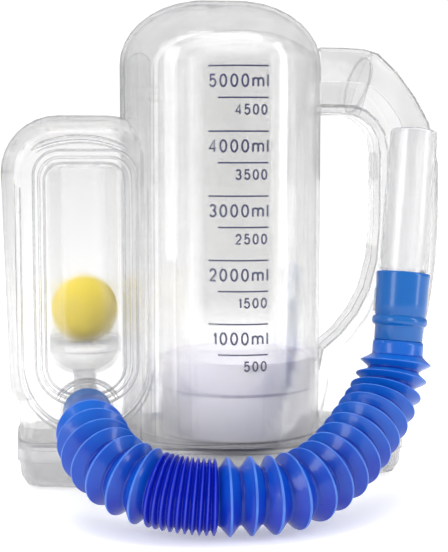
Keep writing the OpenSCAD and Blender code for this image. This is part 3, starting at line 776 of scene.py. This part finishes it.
def ball_cup():
    """A bowl on a stem, with a ring across it that the ball rests on."""
    rim_r, stem_r, seat_bore_r, wall = 19.3, 6.4, 6.0, 1.2
    deck_z, bowl_z, rim_z, bowl_depth, bowl_steps = 25.0, 71.0, 77.0, 13.5, 8
    seat_low, seat_high = 73.9, 75.1
    turns = [math.pi / 2 * k / bowl_steps for k in range(bowl_steps, 0, -1)]
    outside = [(bowl_z - bowl_depth * math.sin(turn), stem_r + (rim_r - stem_r) * math.cos(turn))
               for turn in turns]
    inside = [(z + wall, r - wall) for z, r in reversed(outside)]
    profile = ([(deck_z, stem_r - wall), (deck_z, stem_r)] + outside
               + [(bowl_z, rim_r), (rim_z, rim_r), (rim_z, rim_r - wall),
                  (seat_high, rim_r - wall), (seat_high, seat_bore_r),
                  (seat_low, seat_bore_r), (seat_low, rim_r - wall),
                  (bowl_z + wall, rim_r - wall)] + inside)
    dress(lathe("ball_cup", BALL_AXIS, UP, profile, cup_clear), "body", "ball_seat")


def cup_line(name, z, r, pen):
    """A fine edge round the cup."""
    steps = 48
    points = oval(-BALL_X, 0, r, r, 0, 360 * (steps - 1) / steps, steps - 1)
    edge_rod(name, [(x, y, z) for x, y in points], pen, edge_clear, True)


def stop_cap():
    """The cap on the ball's tube, with its face just above the ball's highest place."""
    profile = [(167.3, 18.25), (167.3, 19.4), (170.3, 19.4), (170.3, 9.0), (168.3, 9.0),
               (168.3, 18.25)]
    dress(lathe("stop_cap", BALL_AXIS, UP, profile, thin_clear), "body", "ball_stop")


def light_ball():
    """The ball, as large as in the photograph and still clear of its tube."""
    ball_r, pole_r, rows, sides = 17.9, 0.02, 24, 48
    rings = []
    for row in range(rows + 1):
        turn = math.pi * row / rows
        centre = Vector((-BALL_X, 0, BALL_Z)) + UP * (-ball_r * math.cos(turn))
        rings.append(circle(centre, Vector((1, 0, 0)), Vector((0, 1, 0)),
                            max(ball_r * math.sin(turn), pole_r), sides))
    verts, faces = join_rings(rings, first_cap=True, last_cap=True)
    dress(finish_mesh("light_ball", verts, faces, [yellow_pp]), "ball",
          "flow_ball")


ball_cup()
cup_line("cup_rim", 76.9, 18.7, 0.55)
cup_line("cup_waist", 70.6, 18.9, 0.45)
cup_line("cup_bottom", 61.5, 14.4, 0.4)
stop_cap()
light_ball()


# The handle's joint and the mouthpiece

def joint_ring():
    """The oval round end of the stub inside the handle's joint."""
    centre, up, side = Vector((73.5, 0, 212.5)), Vector((0.286, 0, 0.958)), Vector((-0.43, 0.9, 0))
    half_height, half_width, steps = 14.6, 9.0, 40
    turns = [2 * math.pi * k / steps for k in range(steps)]
    points = [centre + up * half_height * math.cos(turn) + side * half_width * math.sin(turn)
              for turn in turns]
    edge_rod("joint_ring", points, 0.75, edge_clear, True, "handle_ring")


def mouth_tube():
    """The mouthpiece: a narrow seat in the cuff, then a wide thin tube with a rounded lip."""
    profile = [(-18.0, 10.0), (-18.0, 10.8), (-17.6, 11.0), (0.5, 11.0), (1.0, 12.5), (1.8, 12.9),
               (40.0, 12.7), (73.6, 12.25), (74.6, 12.1), (75.0, 11.7), (74.7, 11.3), (73.6, 11.1),
               (10.0, 11.4), (4.0, 10.4), (1.0, 10.0)]
    dress(lathe("mouth_tube", RIM_AT, MOUTH_WAY, profile, satin), "mouthpiece",
          "mouthpiece")


joint_ring()
mouth_tube()


# CAD nodes: finishes

NODE_FINISH = {
    "base_tray": frosted, "deck_plate": frosted, "air_filter": grey_foam,
    "tower_shell": tower_clear, "measuring_cylinder": clear, "air_duct": thin_clear,
    "piston_cap": white_pp, "piston_seal": seal_rubber, "piston_skirt": skirt_pp_painted_light,
    "chamber_front": chamber_clear, "chamber_rear": chamber_clear, "flow_tube": thin_clear,
    "hose_port": chamber_clear, "handle_stub": stub_clear, "handle_front": handle_clear,
    "handle_rear": handle_clear, "cuff_clip": satin,
}
# Faces that meet at less than this angle, in degrees, belong to one curve
CURVE_ANGLE = 32.0


def smooth_faces(mesh, angle):
    """Shades faces that meet at less than the angle as one curved face; no point moves."""
    limit = math.cos(math.radians(angle))
    place_of = [tuple(round(c, 6) for c in vertex.co) for vertex in mesh.vertices]
    round_place = {}
    for polygon in mesh.polygons:
        for index in polygon.vertices:
            round_place.setdefault(place_of[index], []).append((polygon.normal.copy(), polygon.area))
    normals = [None] * len(mesh.loops)
    for polygon in mesh.polygons:
        for loop in polygon.loop_indices:
            total = Vector()
            for normal, area in round_place[place_of[mesh.loops[loop].vertex_index]]:
                if normal.dot(polygon.normal) > limit:
                    total += normal * area
            normals[loop] = total.normalized() if total.length > 0 else polygon.normal.copy()
    mesh.polygons.foreach_set("use_smooth", [True] * len(mesh.polygons))
    mesh.normals_split_custom_set(normals)


for node, material in NODE_FINISH.items():
    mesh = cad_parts[node].data
    mesh.materials.clear()
    mesh.materials.append(material)
    smooth_faces(mesh, CURVE_ANGLE)


# Floor, light and air round the trainer

FLOOR_HALF = 6000.0
# The floor glows a little, so that it is as white as the air behind it
GLOW_SHARE = 0.15
GLOW_STRENGTH = 3.0


def floor():
    """A plain table, painted off-white."""
    material, tree = new_material("painted_table")
    place = add_node(tree, "ShaderNodeTexCoord")
    cloud = add_node(tree, "ShaderNodeTexNoise", [("Vector", place.outputs["Object"])], Scale=3.0)
    tone = add_node(tree, "ShaderNodeMix", [("Factor", cloud.outputs["Fac"])], data_type="RGBA")
    tone.inputs[MIX_A].default_value = linear("#F7F7F6")
    tone.inputs[MIX_B].default_value = linear("#F3F3F3")
    face = add_node(tree, "ShaderNodeBsdfDiffuse", [("Color", tone.outputs[MIX_RESULT])])
    glow = add_node(tree, "ShaderNodeEmission", [("Color", tone.outputs[MIX_RESULT])],
                    Strength=GLOW_STRENGTH)
    mixed = add_node(tree, "ShaderNodeMixShader",
                     [(1, face.outputs["BSDF"]), (2, glow.outputs["Emission"])], Fac=GLOW_SHARE)
    add_node(tree, "ShaderNodeOutputMaterial", [("Surface", mixed.outputs["Shader"])])
    verts = [(-FLOOR_HALF, -FLOOR_HALF, 0), (FLOOR_HALF, -FLOOR_HALF, 0),
             (FLOOR_HALF, FLOOR_HALF, 0), (-FLOOR_HALF, FLOOR_HALF, 0)]
    piece = finish_mesh("floor", verts, [(0, 1, 2, 3)], [material], smooth=False)


def soft_light(name, place, aim, width, height, power):
    """A soft box at a place, turned to what it lights; sizes in metres, power in watts."""
    data = bpy.data.lights.new(name, "AREA")
    data.shape = "RECTANGLE"
    data.size = width
    data.size_y = height
    data.energy = power
    light = bpy.data.objects.new(name, data)
    bpy.context.scene.collection.objects.link(light)
    light.location = place
    way = Vector(aim) - Vector(place)
    light.rotation_euler = way.to_track_quat("-Z", "Y").to_euler()
    return light


def air():
    """White air behind the object and through it, weaker as light on it, grey where it mirrors."""
    world = bpy.data.worlds.new("studio")
    world.use_nodes = True
    world.cycles.sampling_method = "NONE"
    tree = world.node_tree
    tree.nodes.clear()
    path = add_node(tree, "ShaderNodeLightPath")
    mirrored = add_node(tree, "ShaderNodeMath", [(0, path.outputs["Is Glossy Ray"]),
                                                 (1, path.outputs["Is Transmission Ray"])],
                        operation="SUBTRACT", use_clamp=True)
    white = add_node(tree, "ShaderNodeBackground", Color=(1, 1, 1, 1), Strength=1.1)
    dim = add_node(tree, "ShaderNodeBackground", Color=(1, 1, 1, 1), Strength=0.88)
    grey = add_node(tree, "ShaderNodeBackground", Color=linear("#DADADA"), Strength=0.5)
    lit = add_node(tree, "ShaderNodeMixShader",
                   [("Fac", path.outputs["Is Diffuse Ray"]), (1, white.outputs["Background"]),
                    (2, dim.outputs["Background"])])
    mixed = add_node(tree, "ShaderNodeMixShader",
                     [("Fac", mirrored.outputs["Value"]), (1, lit.outputs["Shader"]),
                      (2, grey.outputs["Background"])])
    add_node(tree, "ShaderNodeOutputWorld", [("Surface", mixed.outputs["Shader"])])
    bpy.context.scene.world = world


floor()
soft_light("key_left", (-0.9, -0.7, 0.45), (0, 0, 0.1), 0.4, 0.9, 5.0)
soft_light("strip_right", (0.8, -0.5, 0.45), (0, 0, 0.12), 0.18, 0.9, 3.0)
# The lamp overhead is out of the mirroring faces' sight, as the photograph's is
soft_light("overhead", (0.0, 0.1, 1.3), (0, 0, 0), 1.2, 0.9, 9.0).visible_glossy = False
air()

# Light passes through many clear walls one behind the other
BOUNCES = 28
STRAIGHT_PASSES = 32
scene = bpy.context.scene
scene.view_settings.view_transform = "Standard"
scene.view_settings.look = "None"
scene.cycles.max_bounces = BOUNCES
scene.cycles.transmission_bounces = BOUNCES
scene.cycles.glossy_bounces = BOUNCES
scene.cycles.transparent_max_bounces = STRAIGHT_PASSES
scene.cycles.caustics_reflective = False
scene.cycles.caustics_refractive = True
